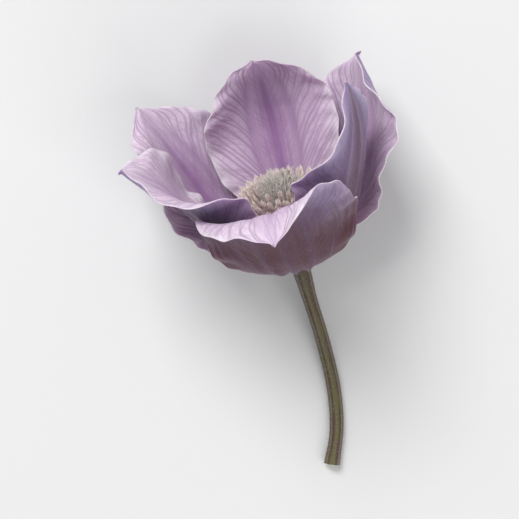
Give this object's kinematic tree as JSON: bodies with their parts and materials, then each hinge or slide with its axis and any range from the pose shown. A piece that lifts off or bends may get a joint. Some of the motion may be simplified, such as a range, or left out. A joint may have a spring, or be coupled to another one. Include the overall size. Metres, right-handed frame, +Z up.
{
  "type": "clematis flower",
  "caption": "Half-open clematis flower, picked, lying on its side: layered, ribbed tepals round a tuft of stamens and styles, on a short cut stalk.",
  "frame": {"origin": "on the surface that the flower lies on, under the middle of its bounding box", "axes": "+Z up from the surface, +Y the way the mouth of the cup points, with the stalk trailing towards -Y"},
  "size_m": [0.0354, 0.0538, 0.0343],
  "materials": {
    "inner_tepals": null,
    "outer_tepals": null,
    "stalk": "matt olive-brown green stalk with fine hairs",
    "stamens": "matt cream threads with pale anthers",
    "styles": "silky pale green-white threads"
  },
  "bodies": {
    "root": {"tepal_1": "inner_tepals", "tepal_2": "outer_tepals", "tepal_3": "inner_tepals", "tepal_4": "outer_tepals", "tepal_5": "inner_tepals", "tepal_6": "outer_tepals", "stamens": "stamens", "styles": "styles", "stalk": "stalk"}
  },
  "joints": []
}
